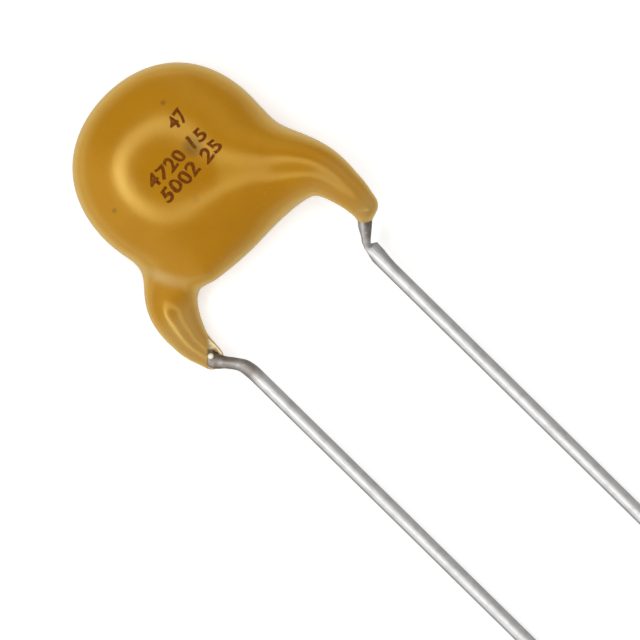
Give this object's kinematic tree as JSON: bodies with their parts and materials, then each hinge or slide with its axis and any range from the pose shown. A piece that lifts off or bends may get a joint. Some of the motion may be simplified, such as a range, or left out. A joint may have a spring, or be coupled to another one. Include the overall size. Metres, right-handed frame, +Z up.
{
  "type": "disc ceramic capacitor",
  "caption": "Radial-lead ceramic disc capacitor: a round amber epoxy-dipped disc on outward-kinked, untrimmed tinned wire leads.",
  "frame": {"origin": "bottom centre of the bounding box, on the surface that the part lies on", "axes": "+Z up; +Y from the lead tips toward the coated disc; the printed face of the disc looks up"},
  "size_m": [0.0142, 0.0464, 0.0049],
  "materials": {
    "ceramic": "matt sintered ceramic",
    "silver": null,
    "tinned_wire": null,
    "solder": null,
    "epoxy": "smooth glossy amber epoxy, slightly translucent"
  },
  "bodies": {
    "root": {"ceramic_disc": "ceramic", "front_electrode": "silver", "back_electrode": "silver", "front_lead": "tinned_wire", "back_lead": "tinned_wire", "front_solder": "solder", "back_solder": "solder", "epoxy_coating": "epoxy"}
  },
  "joints": []
}
